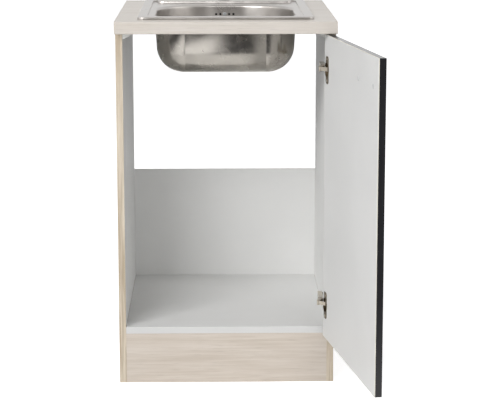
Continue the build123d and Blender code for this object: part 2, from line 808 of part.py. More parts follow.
for word, hinge_z in hinge_heights.items():
    cup_place = door_face([(cup_s, hinge_z)])[0]
    with BuildPart() as cup:
        with BuildSketch(cup_place) as flange:
            with Locations((flange_shift, 0)):
                Rectangle(flange_width, flange_length)
            chamfer(flange.vertices(), flange_chamfer)
            Circle(flange_ring_radius)
            # Towards the hinge edge the ring is cut away, where the link comes over it.
            with Locations((-cup_s, 0)):
                Rectangle(
                    relief_depth,
                    relief_width,
                    align=(Align.MIN, Align.CENTER),
                    mode=Mode.SUBTRACT,
                )
        extrude(amount=flange_thickness)
        with Locations(cup_place):
            Cylinder(
                cup_outer_radius, cup_depth, align=(Align.CENTER, Align.CENTER, Align.MAX)
            )
        with Locations(cup_place.offset(flange_thickness)):
            Hole(radius=cup_inner_radius, depth=cup_floor + flange_thickness)
        with Locations(*[plane.offset(flange_thickness) for plane in cup_screw_places]):
            Hole(radius=cup_screw_radius + fit_gap, depth=2 * flange_thickness)
    save(cup, f"hinge_cup_{word}")

    # The plate: a rib that carries the arm, on two thin wings with their screws.
    with BuildPart() as plate:
        with BuildSketch(Plane((inner_x, plate_y, hinge_z), x_dir=(0, 1, 0), z_dir=(-1, 0, 0))):
            RectangleRounded(wing_depth, wing_length, wing_corner)
        extrude(amount=wing_thickness)
        with BuildSketch(Plane.XY.offset(hinge_z - rib_half)):
            with Locations((inner_x, (rib_front_y + rib_back_y) / 2)):
                Rectangle(
                    inner_x - rib_top_x, rib_back_y - rib_front_y, align=(Align.MAX, Align.CENTER)
                )
        extrude(amount=2 * rib_half)
        rib_ends = plate.edges().filter_by(Axis.Z).group_by(Axis.X)[0]
        chamfer(rib_ends, rib_chamfer)
        with Locations(*facing(plate_screw_points(hinge_z), inward(RIGHT))):
            Hole(radius=plate_screw_radius + fit_gap, depth=wing_thickness)
        with Locations(*facing([(rib_top_x, arm_screw_y, hinge_z)], inward(RIGHT))):
            Hole(radius=arm_screw_radius + fit_gap, depth=arm_screw_length)
    save(plate, f"hinge_plate_{word}")

    # The arm: a channel round the rib whose two cheeks run forward to the link's pin.
    with BuildPart() as arm:
        with BuildSketch(Plane.XY.offset(hinge_z - arm_half)):
            with Locations((arm_web_x, arm_front_y)):
                Rectangle(arm_cheek_x - arm_web_x, arm_back_y - arm_front_y, align=ALONG)
        extrude(amount=2 * arm_half)
        with BuildSketch(Plane.XY.offset(hinge_z - arm_half + arm_sheet)):
            with Locations((arm_web_x + arm_sheet, arm_front_y - 1)):
                Rectangle(arm_cheek_x - arm_web_x, arm_back_y - arm_front_y + 2, align=ALONG)
        extrude(amount=2 * (arm_half - arm_sheet), mode=Mode.SUBTRACT)
        with BuildSketch(Plane.XY.offset(hinge_z - nose_half)):
            with BuildLine():
                CenterArc((arm_pin_x, arm_pin_y), nose_radius, 0, 360)
                Line((arm_web_x, nose_root_web_y), (arm_cheek_x, nose_root_cheek_y))
            make_hull()
        extrude(amount=2 * nose_half)
        with BuildSketch(Plane.XY.offset(hinge_z - nose_half + arm_sheet)):
            with BuildLine():
                Polyline(
                    (arm_pin_x - 2 * nose_radius, arm_pin_y - 2 * nose_radius),
                    (arm_pin_x - 2 * nose_radius, nose_web_y),
                    (arm_pin_x, nose_web_y),
                    (arm_web_x + arm_sheet, nose_root_web_y),
                    (arm_web_x + arm_sheet, nose_cavity_y),
                    (arm_cheek_x + 1, nose_cavity_y),
                    (arm_cheek_x + 1, arm_pin_y - 2 * nose_radius),
                    close=True,
                )
            make_face()
        extrude(amount=2 * (nose_half - arm_sheet), mode=Mode.SUBTRACT)
        with Locations(*facing([(arm_pin_x, arm_pin_y, hinge_z + nose_half)], UP)):
            Hole(radius=pin_radius + thread_gap, depth=2 * nose_half)
        with Locations(*facing([(arm_web_x, arm_screw_y, hinge_z)], inward(RIGHT))):
            Hole(radius=arm_screw_radius + fit_gap, depth=arm_sheet)
    save(arm, f"hinge_arm_{word}")

    # The link: an eye on the arm's pin and, in the cup, the cross pin of its free end.
    with BuildPart() as link:
        with BuildSketch(link_plan.offset(hinge_z - link_half)):
            Circle(link_eye_radius)
            Rectangle(link_length, link_sheet, align=(Align.MIN, Align.CENTER))
            with Locations((link_length, 0)):
                Circle(link_tip_radius)
        extrude(amount=2 * link_half)
        with BuildSketch(link_plan.offset(hinge_z - tip_pin_half)):
            with Locations((link_length, 0)):
                Circle(tip_pin_radius)
        extrude(amount=2 * tip_pin_half)
        with Locations(*facing([(arm_pin_x, arm_pin_y, hinge_z + link_half)], UP)):
            Hole(radius=pin_radius + pin_clearance, depth=2 * link_half)
    save(link, f"hinge_link_{word}")

with BuildPart() as hinge_pins:
    with Locations(*[(arm_pin_x, arm_pin_y, z) for z in hinge_heights.values()]):
        Cylinder(pin_radius, 2 * nose_half)
save(hinge_pins, "hinge_pins")

cup_screws = screws(
    [plane.offset(flange_thickness) for plane in cup_screw_places],
    cup_screw_radius,
    cup_screw_length,
    cup_screw_head_radius,
    cup_screw_head_height,
)
save(cup_screws, "hinge_cup_screws")

plate_screw_places = []
for hinge_z in hinge_heights.values():
    plate_screw_places += facing(plate_screw_points(hinge_z), inward(RIGHT))
plate_screws = screws(
    plate_screw_places,
    plate_screw_radius,
    plate_screw_length,
    plate_screw_head_radius,
    plate_screw_head_height,
)
save(plate_screws, "hinge_plate_screws")

arm_screw_places = [(arm_web_x, arm_screw_y, z) for z in hinge_heights.values()]
arm_screws = screws(
    facing(arm_screw_places, inward(RIGHT)),
    arm_screw_radius,
    arm_screw_length,
    arm_screw_head_radius,
    arm_screw_head_height,
)
save(arm_screws, "hinge_arm_screws")
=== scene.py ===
"""A kitchen sink unit with its door open: boards, worktop, pressed sink, door and hinges."""

import json
import math

import bmesh
import bpy
import numpy as np
from mathutils import Matrix, Vector, geometry


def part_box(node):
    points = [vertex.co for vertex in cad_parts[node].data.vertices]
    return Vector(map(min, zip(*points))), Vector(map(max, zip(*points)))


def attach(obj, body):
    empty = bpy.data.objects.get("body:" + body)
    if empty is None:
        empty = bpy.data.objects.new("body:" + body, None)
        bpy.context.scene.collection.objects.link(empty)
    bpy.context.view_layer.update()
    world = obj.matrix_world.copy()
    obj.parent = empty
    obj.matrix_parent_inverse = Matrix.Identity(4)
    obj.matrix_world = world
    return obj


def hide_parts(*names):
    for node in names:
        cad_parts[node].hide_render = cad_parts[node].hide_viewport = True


bl_info = {
    "name": "Kitchen Sink Unit",
    "version": (1, 0, 0),
    "blender": (4, 5, 0),
    "location": "View3D > Sidebar > Sink Unit",
    "description": "Boards, worktop, pressed sink, door and hinges of a kitchen sink unit",
    "category": "Object",
}

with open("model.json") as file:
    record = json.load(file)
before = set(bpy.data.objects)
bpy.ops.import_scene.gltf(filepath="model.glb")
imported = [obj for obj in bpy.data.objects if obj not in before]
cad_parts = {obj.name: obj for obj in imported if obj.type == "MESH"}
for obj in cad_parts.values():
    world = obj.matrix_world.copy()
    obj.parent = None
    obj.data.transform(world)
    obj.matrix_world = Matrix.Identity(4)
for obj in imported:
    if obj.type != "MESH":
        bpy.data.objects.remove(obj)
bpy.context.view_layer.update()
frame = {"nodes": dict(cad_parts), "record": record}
NODES = frame["nodes"]
MM = 0.001


# ------------------------------------------------------------------ sizes and colours
class SinkUnitSizes(bpy.types.PropertyGroup):
    """Sizes that the looks add to the frame's own."""

    board_arris: bpy.props.FloatProperty(
        name="Board arris",
        description="Width of the broken edge on a coated board",
        default=0.5 * MM,
        unit="LENGTH",
    )
    metal_arris: bpy.props.FloatProperty(
        name="Metal arris",
        description="Width of the broken edge on a hinge part",
        default=0.3 * MM,
        unit="LENGTH",
    )


def colour_property(name, description, default):
    """A colour that the user can change, as the eye reads it."""
    return bpy.props.FloatVectorProperty(
        name=name, description=description, subtype="COLOR", size=3, default=default
    )


class SinkUnitColours(bpy.types.PropertyGroup):
    """Main colours of the finishes, as the eye reads them."""

    wood_light: colour_property(
        "Decor, light grain", "The lighter stripes of the pale wood decor", (0.83, 0.795, 0.755)
    )
    wood_dark: colour_property(
        "Decor, dark grain", "The darker stripes of the pale wood decor", (0.765, 0.72, 0.67)
    )
    edge_light: colour_property(
        "Edging, light grain", "The lighter stripes of the sides' edging", (0.83, 0.785, 0.715)
    )
    edge_dark: colour_property(
        "Edging, dark grain", "The darker stripes of the sides' edging", (0.695, 0.635, 0.55)
    )
    worktop_light: colour_property(
        "Worktop, light grain", "The lighter stripes of the worktop", (0.825, 0.80, 0.77)
    )
    worktop_dark: colour_property(
        "Worktop, dark grain", "The darker stripes of the worktop", (0.775, 0.742, 0.70)
    )
    white_board: colour_property(
        "White board",
        "The white coating inside the cabinet and on the door's inner face",
        (0.925, 0.925, 0.92),
    )
    dark_front: colour_property(
        "Dark front", "The dark facing and edging of the door", (0.205, 0.202, 0.215)
    )


def linear(colour):
    """A colour as the eye reads it, in the linear values that a shader takes."""
    values = [c / 12.92 if c <= 0.04045 else ((c + 0.055) / 1.055) ** 2.4 for c in colour]
    return (*values, 1.0)


def sizes():
    return bpy.context.scene.sink_unit_sizes


# ------------------------------------------------------------------ node trees
class Tree:
    """A node tree with short calls for the nodes that the finishes use."""

    def __init__(self, tree, coords=None):
        self.tree = tree
        if coords:
            self.tree.nodes.clear()
            self.coords = self.node("ShaderNodeTexCoord").outputs[coords]

    def node(self, kind, values=(), **settings):
        """A node with its settings, and its inputs set or linked by name or number."""
        made = self.tree.nodes.new(kind)
        for key, value in settings.items():
            setattr(made, key, value)
        for key, value in dict(values).items():
            if isinstance(value, bpy.types.NodeSocket):
                self.tree.links.new(value, made.inputs[key])
            else:
                made.inputs[key].default_value = value
        return made

    def stretched(self, scale=(1, 1, 1), place=(0, 0, 0)):
        """The tree's coordinates, scaled and moved."""
        values = {"Vector": self.coords, "Scale": scale, "Location": place}
        return self.node("ShaderNodeMapping", values).outputs["Vector"]

    def noise(self, vector, scale, detail=2.0, roughness=0.5, distortion=0.0):
        """A noise value from 0 to 1, centred on 0.5."""
        values = {
            "Vector": vector,
            "Scale": scale,
            "Detail": detail,
            "Roughness": roughness,
            "Distortion": distortion,
        }
        return self.node("ShaderNodeTexNoise", values).outputs["Fac"]

    def ramp(self, value, low, high, start=0.0, end=1.0):
        """The value eased from low..high to start..end, held at both ends."""
        values = {"Value": value, "From Min": low, "From Max": high, "To Min": start, "To Max": end}
        made = self.node("ShaderNodeMapRange", values, interpolation_type="SMOOTHSTEP")
        return made.outputs["Result"]

    def math(self, kind, *terms):
        """A Math node of that kind on one or more terms."""
        return self.node("ShaderNodeMath", enumerate(terms), operation=kind).outputs[0]

    def mix(self, share, first, second):
        """Two colours mixed by a share."""
        values = {0: share, 6: first, 7: second}
        return self.node("ShaderNodeMix", values, data_type="RGBA").outputs[2]

    def axis(self, letter):
        """One of the tree's coordinates."""
        return self.node("ShaderNodeSeparateXYZ", {0: self.coords}).outputs[letter]

    def bump(self, height, distance, strength=1.0, normal=None):
        """The height, from 0 to 1, worked into the surface over the distance in metres."""
        values = {"Height": height, "Distance": distance, "Strength": strength}
        if normal:
            values["Normal"] = normal
        return self.node("ShaderNodeBump", values).outputs["Normal"]


class Shader(Tree):
    """A material with one main shader, on the object's own coordinates."""

    def __init__(self, name, roughness=0.5, metallic=0.0):
        self.material = bpy.data.materials.new(name)
        self.material.use_nodes = True
        super().__init__(self.material.node_tree, "Object")
        values = {"Roughness": roughness, "Metallic": metallic}
        self.bsdf = self.node("ShaderNodeBsdfPrincipled", values)
        self.node("ShaderNodeOutputMaterial", {"Surface": self.bsdf.outputs["BSDF"]})

    def put(self, **sockets):
        """Set or link the main shader's sockets; an underscore stands for a space."""
        for key, value in sockets.items():
            socket = self.bsdf.inputs[key.replace("_", " ")]
            if isinstance(value, bpy.types.NodeSocket):
                self.tree.links.new(value, socket)
            else:
                socket.default_value = value

    def clouded(self, cloud, colour, dim):
        """The colour, dimmed to that share where the cloud is low."""
        low = tuple(c * dim for c in colour)
        return self.mix(self.ramp(cloud, 0.35, 0.65), linear(low), linear(colour))


def grained(name, light, dark, along, roughness=0.42, contrast=1.0):
    """Wood decor printed on a board: streaks along one axis, pores and cloudy tone."""
    s = Shader(name, roughness)

    def drawn_out(lengthwise, sideways):
        scale = [lengthwise if letter == along else sideways for letter in "XYZ"]
        return s.stretched(scale)

    wander = s.noise(drawn_out(1.4, 26), 1.0, 3.0, 0.55, 0.6)
    streak = s.noise(drawn_out(6, 160), 1.0, 4.0, 0.6, 0.35)
    cloud = s.noise(drawn_out(3, 3), 1.0, 2.0)
    both = s.math("ADD", s.math("MULTIPLY", streak, 0.6), s.math("MULTIPLY", wander, 0.4))
    spread = 0.17 / contrast
    share = s.ramp(both, 0.5 - spread, 0.5 + spread)
    tone = s.mix(share, linear(dark), linear(light))
    pores = s.ramp(s.noise(drawn_out(22, 900), 1.0, 2.0), 0.60, 0.72, 0.0, 0.5)
    deep = tuple(c * 0.86 for c in dark)
    tone = s.mix(pores, tone, linear(deep))
    pale = tuple(min(1.0, c * 1.035) for c in light)
    tone = s.mix(s.ramp(cloud, 0.45, 0.7, 0.0, 0.5), tone, linear(pale))
    height = s.math("SUBTRACT", share, pores)
    s.put(
        Base_Color=tone,
        Normal=s.bump(height, 0.00004, 0.5),
        Roughness=s.ramp(pores, 0, 0.5, roughness, roughness + 0.12),
    )
    return s.material


def coated_white(name, colour, roughness=0.5):
    """White melamine: a fine pearl texture and the faintest unevenness of tone."""
    s = Shader(name, roughness)
    pearl = s.noise(s.stretched(), 1400.0, 2.0, 0.6)
    cloud = s.noise(s.stretched(), 5.0, 3.0)
    s.put(
        Base_Color=s.clouded(cloud, colour, 0.985),
        Normal=s.bump(pearl, 0.00003, 0.35),
        Roughness=s.ramp(cloud, 0.3, 0.7, roughness - 0.03, roughness + 0.04),
        Specular_IOR_Level=0.28,
    )
    return s.material


def chipboard(name):
    """Raw chipboard at an uncoated edge: pressed chips in several browns, open texture."""
    s = Shader(name, 0.85)
    chips = s.node(
        "ShaderNodeTexVoronoi", {"Vector": s.stretched((1.0, 0.45, 0.6)), "Scale": 900.0}
    )
    shade = s.node("ShaderNodeSeparateColor", {0: chips.outputs["Color"]}).outputs[0]
    dust = s.noise(s.stretched(), 260.0, 4.0, 0.65)
    tone = s.mix(shade, linear((0.60, 0.47, 0.33)), linear((0.80, 0.69, 0.53)))
    tone = s.mix(s.ramp(dust, 0.42, 0.62), linear((0.52, 0.40, 0.28)), tone)
    height = s.math("ADD", chips.outputs["Distance"], dust)
    s.put(Base_Color=tone, Normal=s.bump(height, 0.0003, 0.6))
    return s.material


def raw_hardboard(name):
    """The brown felted rear of a hardboard sheet."""
    s = Shader(name, 0.8)
    felt = s.noise(s.stretched(), 420.0, 4.0, 0.7)
    cloud = s.noise(s.stretched(), 14.0, 3.0, 0.55)
    tone = s.mix(s.ramp(felt, 0.35, 0.65), linear((0.50, 0.375, 0.255)), linear((0.62, 0.49, 0.35)))
    tone = s.mix(s.ramp(cloud, 0.4, 0.6, 0.0, 0.35), tone, linear((0.46, 0.345, 0.235)))
    s.put(Base_Color=tone, Normal=s.bump(felt, 0.0002, 0.5))
    return s.material


def satin_dark(name, colour, roughness=0.3):
    """The door's dark facing: smooth, with a slight unevenness in its gloss."""
    s = Shader(name, roughness)
    orange_peel = s.noise(s.stretched(), 260.0, 2.0)
    cloud = s.noise(s.stretched(), 9.0, 1.0)
    s.put(
        Base_Color=s.clouded(cloud, colour, 0.97),
        Normal=s.bump(orange_peel, 0.00002, 0.3),
        Roughness=s.ramp(cloud, 0.25, 0.75, roughness - 0.015, roughness + 0.02),
    )
    return s.material


# The bowl's front wall is finished as if it bulged: half the bulge's width, the height of its
# middle and of its ends, how fast it falls off with the distance squared, how far it rises, and
# the depths in the cabinet between which it fades out.
CROWN_HALF = 0.093
CROWN_MIDDLE = 0.792
CROWN_ENDS = (0.776, 0.85)
CROWN_FALL = 100.0
CROWN_RISE = 0.014
CROWN_FADE = (0.13, 0.07)
# Where the steel's slow waves are taken from their pattern.
SWAY_PLACE = (0.31, 0.0, 0.07)


def crowned(s, normal):
    """The normal tilted as on a bulging sheet, at the bowl's front wall only."""
    across = s.math("MINIMUM", s.math("ABSOLUTE", s.axis("X")), CROWN_HALF)
    held = s.math("MINIMUM", s.math("MAXIMUM", s.axis("Z"), CROWN_ENDS[0]), CROWN_ENDS[1])
    up = s.math("SUBTRACT", held, CROWN_MIDDLE)
    squares = s.math("ADD", s.math("MULTIPLY", across, across), s.math("MULTIPLY", up, up))
    height = s.math("SUBTRACT", 1.0, s.math("MULTIPLY", squares, CROWN_FALL))
    bulged = s.bump(height, CROWN_RISE, 1.0, normal)
    share = s.ramp(s.axis("Y"), *CROWN_FADE)
    mixed = s.node("ShaderNodeMix", {0: share, 4: normal, 5: bulged}, data_type="VECTOR")
    return mixed.outputs[1]


def steel(name, colour, roughness, lines=(300, 300, 300), streak=0.1, relief=0.4, buckle=0):
    """Stainless or plated metal: fine drawn lines, a cloudy gloss and, on sheet, slow waves."""
    s = Shader(name, roughness, 1.0)
    lines = s.noise(s.stretched(lines), 1.0, 3.0, 0.6)
    cloud = s.noise(s.stretched(), 22.0, 3.0, 0.5)
    normal = s.bump(lines, 0.00003, relief)
    if buckle:
        sway = s.noise(s.stretched(place=SWAY_PLACE), 11.0, 1.0)
        normal = crowned(s, s.bump(sway, buckle, 1.0, normal))
    s.put(
        Base_Color=s.clouded(cloud, colour, 0.94),
        Normal=normal,
        Roughness=s.ramp(cloud, 0.25, 0.75, roughness - streak / 2, roughness + streak),
    )
    return s.material


def moulded(name, colour, roughness=0.45):
    """Moulded plastic or foam with a fine spark-eroded texture."""
    s = Shader(name, roughness)
    grain = s.noise(s.stretched(), 1800.0, 3.0, 0.6)
    cloud = s.noise(s.stretched(), 30.0, 2.0)
    s.put(
        Base_Color=s.clouded(cloud, colour, 0.95),
        Normal=s.bump(grain, 0.00005, 0.5),
        Roughness=s.ramp(grain, 0.3, 0.7, roughness - 0.05, roughness + 0.08),
    )
    return s.material


MATERIALS = {}


def dimmed(colour, share):
    """A share of the colour, as the eye reads it."""
    return tuple(value * share for value in colour)


def make_materials():
    """Every finish of the unit, by the name that the pieces use."""
    c = bpy.context.scene.sink_unit_colours
    wood = (c.wood_light, c.wood_dark)
    top = (c.worktop_light, c.worktop_dark)
    recipes = {
        "decor_upright": (grained, *wood, "Z"),
        "decor_across": (grained, *wood, "X"),
        "edge_decor": (grained, c.edge_light, c.edge_dark, "Z", 0.42, 1.6),
        "worktop_laminate": (grained, *top, "X", 0.36, 0.8),
        "beech": (grained, (0.82, 0.70, 0.53), (0.72, 0.58, 0.41), "X", 0.6),
        "white_board": (coated_white, c.white_board),
        "white_lacquer": (coated_white, dimmed(c.white_board, 0.99), 0.45),
        "white_edge": (coated_white, dimmed(c.white_board, 0.90)),
        "door_white": (coated_white, dimmed(c.white_board, 0.96), 0.45),
        "dark_front": (satin_dark, c.dark_front),
        "dark_edge": (satin_dark, dimmed(c.dark_front, 0.75), 0.2),
        "raw_edge": (chipboard,),
        "raw_back": (raw_hardboard,),
        # The pale joint line along the door's edging, with the highlight on its arris painted into
        # its colour.
        "light_core": (moulded, (0.93, 0.915, 0.87), 0.5),
        "black_plastic": (moulded, (0.09, 0.09, 0.095), 0.5),
        "cap_plastic": (moulded, (0.80, 0.80, 0.80), 0.4),
        "white_plastic": (moulded, (0.90, 0.90, 0.885)),
        "black_foam": (moulded, (0.13, 0.13, 0.13), 0.8),
        "satin_steel": (steel, (0.74, 0.725, 0.71), 0.3, (260, 900, 260), 0.06, 0.05),
        "drawn_steel": (steel, (0.68, 0.66, 0.63), 0.22, (700, 700, 26), 0.1, 0.25, 1.5 * MM),
        # A darker copy of the nickel for the hinge cups and plates: painted shade, where they sit
        # in shadow.
        "dark_nickel": (steel, (0.46, 0.41, 0.33), 0.36),
        "plated_nickel": (steel, (0.80, 0.765, 0.71), 0.26),
        "plated_zinc": (steel, (0.76, 0.77, 0.78), 0.34),
        "die_cast": (steel, (0.66, 0.66, 0.66), 0.45, (500, 500, 500)),
    }
    for name, (maker, *values) in recipes.items():
        MATERIALS[name] = maker(name, *values)


# ------------------------------------------------------------------ mesh helpers
def wear(piece, *names):
    """The piece's material slots, filled in order."""
    piece.data.materials.clear()
    for name in names:
        piece.data.materials.append(MATERIALS[name])


BODY_OF = {n: b for b, ns in frame["record"]["behaviour"]["bodies"].items() for n in ns}


# Points of a node nearer than this are joined, and so are faces that meet flatter than this.
SAME_POINT = 0.0005 * MM
SAME_PLANE = math.radians(0.3)


def merged(name):
    """A node's solid as a bmesh, with its loose triangles joined."""
    bm = bmesh.new()
    bm.from_mesh(NODES[name].data)
    bmesh.ops.remove_doubles(bm, verts=bm.verts, dist=SAME_POINT)
    return bm


def in_scene(name, data):
    """A new object of that name with that data, at the origin."""
    made = bpy.data.objects.new(name, data)
    bpy.context.scene.collection.objects.link(made)
    return made


def new_piece(name, bm):
    """A new object of that name from a bmesh, which is freed."""
    mesh = bpy.data.meshes.new(name)
    bm.to_mesh(mesh)
    bm.free()
    return in_scene(name, mesh)


def baked(piece):
    """The piece with its modifiers worked into its mesh."""
    bpy.context.view_layer.update()
    graph = bpy.context.evaluated_depsgraph_get()
    mesh = bpy.data.meshes.new_from_object(piece.evaluated_get(graph))
    piece.modifiers.clear()
    old = piece.data
    piece.data = mesh
    name = old.name
    bpy.data.meshes.remove(old)
    mesh.name = name
    return piece


def stand_for(piece, name, angle=35.0):
    """The piece, shaded smooth between its true edges, takes the place of that node."""
    mesh = piece.data
    mesh.polygons.foreach_set("use_smooth", [True] * len(mesh.polygons))
    mesh.set_sharp_from_angle(angle=math.radians(angle))
    weighted = piece.modifiers.new("weighted", "WEIGHTED_NORMAL")
    weighted.keep_sharp = True
    weighted.weight = 50
    baked(piece)
    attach(piece, BODY_OF[name])
    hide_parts(name)


def paint(piece, chooser):
    """Gives each face the slot number that the chooser returns for its middle and its normal."""
    for face in piece.data.polygons:
        face.material_index = chooser(face.center, face.normal)


def along(normal):
    """The axis that a normal mostly follows, with its sign, as in +X or -Z."""
    lengths = [abs(v) for v in normal]
    index = lengths.index(max(lengths))
    return ("+" if normal[index] > 0 else "-") + "XYZ"[index]


def cut_through(piece, place, normal):
    """Cuts the piece's faces along a plane, and keeps both sides."""
    bm = bmesh.new()
    bm.from_mesh(piece.data)
    whole = [*bm.verts, *bm.edges, *bm.faces]
    bmesh.ops.bisect_plane(bm, geom=whole, dist=1e-7, plane_co=place, plane_no=normal)
    bm.to_mesh(piece.data)
    bm.free()


def board(
    name, finishes, chooser=None, keep=None, width=None, shortest=6 * MM, angle=60.0, split=None
):
    """A node's solid with its long outer edges slightly rounded, in the finishes of its faces."""
    bm = merged(name)
    bmesh.ops.dissolve_limit(bm, angle_limit=SAME_PLANE, verts=bm.verts, edges=bm.edges)
    width = sizes().board_arris if width is None else width
    weight = bm.edges.layers.float.new("bevel_weight_edge")
    for edge in bm.edges:
        if len(edge.link_faces) != 2 or not edge.is_convex or edge.calc_length() < shortest:
            continue
        if edge.calc_face_angle() < math.radians(angle):
            continue
        if keep is None or keep(*(v.co for v in edge.verts)):
            edge[weight] = 1.0
    piece = new_piece(name + "_finished", bm)
    if width:
        bevel = piece.modifiers.new("arris", "BEVEL")
        bevel.limit_method = "WEIGHT"
        bevel.width = width
        bevel.segments = 3
        bevel.use_clamp_overlap = False
        baked(piece)
    if split:
        cut_through(piece, *split)
    wear(piece, *finishes)
    if chooser:
        paint(piece, chooser)
    stand_for(piece, name)


class SINKUNIT_OT_finishes(bpy.types.Operator):
    """Make every finish of the unit from its colours"""

    bl_idname = "sink_unit.finishes"
    bl_label = "Finishes"

    def execute(self, context):
        make_materials()
        return {"FINISHED"}


def by_side(*sides):
    """A chooser that gives each group of directions its own slot, and the rest the next one."""
    table = {axis: slot for slot, axes in enumerate(sides) for axis in axes}
    return lambda middle, normal: table.get(along(normal), len(sides))


class SINKUNIT_OT_boards(bpy.types.Operator):
    """Side panels, cabinet floor, plinth and lower back panel"""

    bl_idname = "sink_unit.boards"
    bl_label = "Cabinet boards"

    def execute(self, context):
        edging = 1.0 * MM

        def behind_edging(a, b):
            return max(a.y, b.y) > 1.1 * edging

        def before_board(a, b):
            return max(a.y, b.y) < 0.1 * edging

        for side, outer in (("left", "-X"), ("right", "+X")):
            inner = "+X" if outer == "-X" else "-X"
            chooser = by_side([outer], [inner])
            finishes = ("decor_upright", "white_board", "raw_edge")
            board("side_panel_" + side, finishes, chooser, behind_edging)
            board("side_edging_" + side, ("edge_decor",), None, before_board, width=0.4 * MM)
        chooser = by_side(["+Z", "-Z"])
        seam = 0.7 * MM
        board("cabinet_floor", ("white_board", "raw_edge"), chooser, behind_edging, width=seam)
        board("floor_edging", ("white_edge",), None, before_board, width=0.4 * MM)
        chooser = by_side(["-Y"], ["+Y"])
        board("plinth", ("decor_across", "white_board", "raw_edge"), chooser, width=0.4 * MM)
        chooser = by_side(["-Y"])
        board("back_panel", ("white_lacquer", "raw_back"), chooser, width=0.25 * MM)
        return {"FINISHED"}


class SINKUNIT_OT_worktop(bpy.types.Operator):
    """Worktop with its rounded front and the raw edges of its cut-out"""

    bl_idname = "sink_unit.worktop"
    bl_label = "Worktop"

    def execute(self, context):
        low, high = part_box("worktop")

        def chooser(middle, normal):
            axis = along(normal)
            at_front = middle.y < low.y + 4 * MM
            at_side = min(abs(middle.x - low.x), abs(middle.x - high.x)) < 2 * MM
            if axis == "+Z" or at_front or (axis in ("+X", "-X") and at_side):
                return 0
            return 2 if axis == "-Z" else 1

        finishes = ("worktop_laminate", "raw_edge", "white_lacquer")
        board("worktop", finishes, chooser, angle=70.0)
        return {"FINISHED"}


# The way that the open door's inner face looks, and how wide a pale strip runs along the edging
# next to the white face: the joint line, with the highlight on its arris painted in.
PAST_SQUARE = math.radians(9)
OUT_OF_DOOR = (-math.cos(PAST_SQUARE), -math.sin(PAST_SQUARE), 0)
JOINT_HIGHLIGHT_WIDTH = 1.7 * MM


class SINKUNIT_OT_door(bpy.types.Operator):
    """Door board, its dark facing and the edging round it"""

    bl_idname = "sink_unit.door"
    bl_label = "Door"

    def execute(self, context):
        board("door_board", ("door_white",), width=0.1 * MM)
        board("door_front_sheet", ("dark_front",), width=0.1 * MM)
        inward = Vector(OUT_OF_DOOR)
        inner = max(v.co.dot(inward) for v in NODES["door_edging"].data.vertices)
        highlight_start = inner - JOINT_HIGHLIGHT_WIDTH

        def chooser(middle, normal):
            return 1 if middle.dot(inward) > highlight_start else 0

        # The strip next to the inner face is the joint line, lightened by a painted highlight.
        finishes = ("dark_edge", "light_core")
        split = (inward * highlight_start, inward)
        board("door_edging", finishes, chooser, width=0.4 * MM, split=split)
        return {"FINISHED"}


# ------------------------------------------------------------------ sink
# The pressed sink's forms, in metres, as the frame has them.
SINK_HALF = (0.200, 0.250)
SINK_MID_Y = 0.242
SINK_CORNER = 0.016
SKIRT_BOTTOM = 0.8503
RIM_TOP = 0.8565
RIM_EDGE = 0.003
FIELD_HALF = (0.178, 0.228)
FIELD_CORNER = 0.026
FIELD_TOP = 0.8525
# The radii at the top and the foot of the step down from the rim, and where it starts outside
# the field's outline; then the same for the step up to the bank, which starts inside its outline.
FIELD_STEP = (0.0020, 0.0014)
FIELD_STEP_START = 0.0019
BANK_STEP = (0.0026, 0.0016)
BANK_STEP_START = 0.0024
BOWL_HALF = (0.1625, 0.1725)
BOWL_MID_Y = 0.2055
BOWL_CORNERS = (0.070, 0.125)
BOWL_FLOOR = 0.7205
BOWL_DRAFT = math.radians(3.0)
BOWL_FLOOR_RADIUS = 0.060
BOWL_LIP_RADIUS = 0.007
# How far outside the bowl's outline the rounding of its lip begins.
BOWL_LIP_REACH = BOWL_LIP_RADIUS * math.tan((math.pi / 2 - BOWL_DRAFT) / 2)
BANK_HALF = (0.166, 0.031)
BANK_MID_Y = 0.443
BANK_CORNER = 0.014
BANK_TOP = 0.859
# The tap hole's place and radius.
TAP_HOLE = (0.0, 0.441, 0.0175)
RECESS_RADIUS = 0.038
RECESS_DEPTH = 0.004
RECESS_STEP = (0.0020, 0.0012)
RECESS_SLOPE = 70.0
DRAIN_RADIUS = 0.026
SHEET = 0.001
OVERFLOW_Z = 0.829
OVERFLOW_XS = (-0.0214, -0.0107, 0.0107, 0.0214)
OVERFLOW_RADIUS = 0.0028
OVERFLOW_SCREW_RADIUS = 0.0026
# How finely the sheet is divided: a corner, the straight side between two corners, and each
# radius of a step; the rim's edge, the bowl's lip, wall and floor rounding; and the tap hole.
CORNER_STEPS = 24
SIDE_STEPS = 14
ROUND_STEPS = 6
RIM_STEPS = 8
LIP_STEPS = 12
WALL_STEPS = 12
FLOOR_STEPS = 24
TAP_HOLE_STEPS = 48


def both_corners(corner):
    """The corner radii at the front and at the back, where one number stands for both."""
    return corner if isinstance(corner, tuple) else (corner, corner)


def rounded_loop(half, corner, mid_y, grow, corner_steps=CORNER_STEPS):
    """Points round a rectangle with rounded corners, grown by an offset, anticlockwise."""
    front, rear = both_corners(corner)
    signs = ((1, 1, 0, rear), (-1, 1, 90, rear), (-1, -1, 180, front), (1, -1, 270, front))
    arcs = []
    for sx, sy, start, radius in signs:
        middle = (sx * (half[0] - radius), sy * (half[1] - radius))
        turns = [math.radians(start + 90 * step / corner_steps) for step in range(corner_steps + 1)]
        wide = radius + grow
        arcs.append(
            [(middle[0] + wide * math.cos(t), middle[1] + wide * math.sin(t)) for t in turns]
        )
    points = []
    for arc, after in zip(arcs, arcs[1:] + arcs[:1]):
        points.extend(arc)
        for step in range(1, SIDE_STEPS):
            share = step / SIDE_STEPS
            points.append(tuple(a + (b - a) * share for a, b in zip(arc[-1], after[0])))
    return [(x, y + mid_y) for x, y in points]


def stacked(levels, half, corner, mid_y):
    """A ring of points for each level, which is an offset from the outline and a height."""
    rings = []
    for grow, z in levels:
        rings.append([(x, y, z) for x, y in rounded_loop(half, corner, mid_y, grow)])
    return rings


